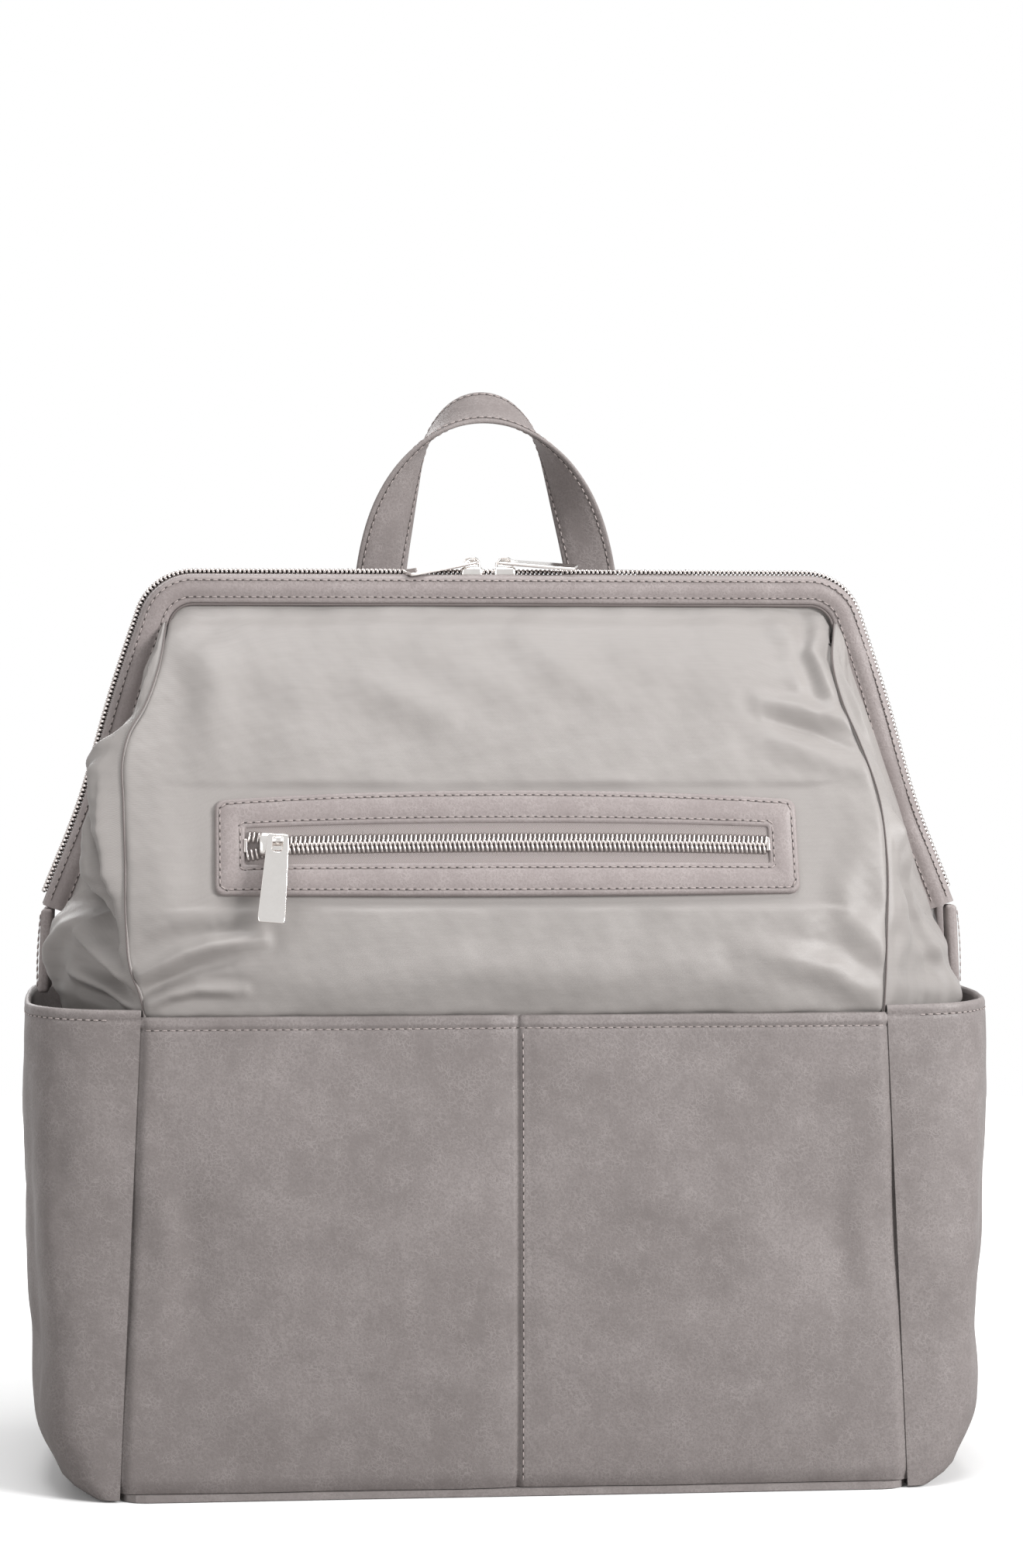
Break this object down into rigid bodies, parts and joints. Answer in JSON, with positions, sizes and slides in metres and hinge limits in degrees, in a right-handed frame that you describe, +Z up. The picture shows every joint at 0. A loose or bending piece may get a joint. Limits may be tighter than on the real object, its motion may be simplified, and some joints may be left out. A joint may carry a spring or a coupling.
{
  "type": "diaper backpack",
  "caption": "Soft backpack for baby care with a hoop-framed zip mouth, a front zip pocket, open side pockets, a carrying handle and shoulder straps.",
  "frame": {"origin": "middle of the resting face", "axes": "+Z up, the front faces -Y, +X to the right as seen from the front"},
  "size_m": [0.4332, 0.191, 0.4839],
  "materials": {
    "nylon": "fine twill, satin sheen",
    "leather": "matt faux leather, fine grain",
    "back_fabric": "padded mesh-backed cloth",
    "lining": "plain lining cloth",
    "zip_tape": "herringbone tape",
    "zip_teeth": "bright nickel coil",
    "nickel": "polished nickel",
    "steel_wire": "plain spring steel",
    "webbing": "woven webbing",
    "board": "matt"
  },
  "bodies": {
    "root": {"front_fabric_sill": "nylon", "side_panel_left": "nylon", "side_panel_right": "nylon", "rear_gusset_left": "nylon", "rear_gusset_right": "nylon", "bottom_panel": "leather", "front_lower_panel": "leather", "side_pocket_left": "leather", "side_pocket_right": "leather", "rear_frame_band": "leather", "rear_zip_sleeve_left": "leather", "rear_zip_sleeve_right": "leather", "handle_foot_left": "leather", "handle_foot_right": "leather", "strap_anchor_left": "leather", "strap_anchor_right": "leather", "strap_tab_left": "leather", "strap_tab_right": "leather", "back_panel": "back_fabric", "rear_upper_panel": "back_fabric", "shoulder_strap_left": "back_fabric", "shoulder_strap_right": "back_fabric", "lining": "lining", "rear_zip_tape": "zip_tape", "rear_zip_teeth": "zip_teeth", "rear_frame_wire": "steel_wire", "strap_webbing_left": "webbing", "strap_webbing_right": "webbing", "base_board": "board"},
    "front_frame": {"front_frame_band": "leather", "front_frame_wire": "steel_wire", "front_zip_tape": "zip_tape", "front_zip_teeth": "zip_teeth", "front_zip_sleeve_left": "leather", "front_zip_sleeve_right": "leather", "front_upper_panel": "nylon", "front_gusset_left": "nylon", "front_gusset_right": "nylon", "pocket_surround": "leather", "pocket_zip_tape": "zip_tape", "pocket_zip_teeth": "zip_teeth", "pocket_pouch": "lining"},
    "handle": {"handle": "leather"},
    "top_slider_left": {"top_slider_left": "nickel"},
    "top_slider_right": {"top_slider_right": "nickel"},
    "top_puller_left": {"top_puller_left": "nickel"},
    "top_puller_right": {"top_puller_right": "nickel"},
    "pocket_slider": {"pocket_slider": "nickel"},
    "pocket_puller": {"pocket_puller": "nickel"},
    "strap_adjuster_left": {"strap_adjuster_left": "nickel"},
    "strap_adjuster_right": {"strap_adjuster_right": "nickel"}
  },
  "joints": [
    {"name": "mouth_open", "type": "hinge", "parent": "root", "child": "front_frame", "pos_m": [0, -0.0125, 0.215], "axis": [1, 0, 0], "range_deg": [0, 38]},
    {"name": "handle_tilt", "type": "hinge", "parent": "root", "child": "handle", "pos_m": [0, 0.036, 0.37], "axis": [1, 0, 0], "range_deg": [-60, 22], "stiffness_Nm_per_rad": 0.03},
    {"name": "top_slider_left_slide", "type": "slide", "parent": "root", "child": "top_slider_left", "axis": [-1, 0, 0], "range_m": [0, 0.11]},
    {"name": "top_slider_right_slide", "type": "slide", "parent": "root", "child": "top_slider_right", "axis": [1, 0, 0], "range_m": [0, 0.11]},
    {"name": "top_puller_left_flip", "type": "hinge", "parent": "top_slider_left", "child": "top_puller_left", "pos_m": [-0.0135, 0, 0.4068], "axis": [0, 1, 0], "range_deg": [0, 85]},
    {"name": "top_puller_right_flip", "type": "hinge", "parent": "top_slider_right", "child": "top_puller_right", "pos_m": [0.0015, 0, 0.4068], "axis": [0, -1, 0], "range_deg": [0, 85]},
    {"name": "pocket_slider_slide", "type": "slide", "parent": "front_frame", "child": "pocket_slider", "axis": [1, 0, 0], "range_m": [0, 0.205]},
    {"name": "pocket_puller_lift", "type": "hinge", "parent": "pocket_slider", "child": "pocket_puller", "pos_m": [-0.103, -0.08208, 0.28361], "axis": [-1, 0, 0], "range_deg": [0, 150]},
    {"name": "strap_adjuster_left_slide", "type": "slide", "parent": "root", "child": "strap_adjuster_left", "axis": [-0.5007, 0, -0.8656], "range_m": [-0.02, 0.05]},
    {"name": "strap_adjuster_right_slide", "type": "slide", "parent": "root", "child": "strap_adjuster_right", "axis": [0.5007, 0, -0.8656], "range_m": [-0.02, 0.05]}
  ]
}
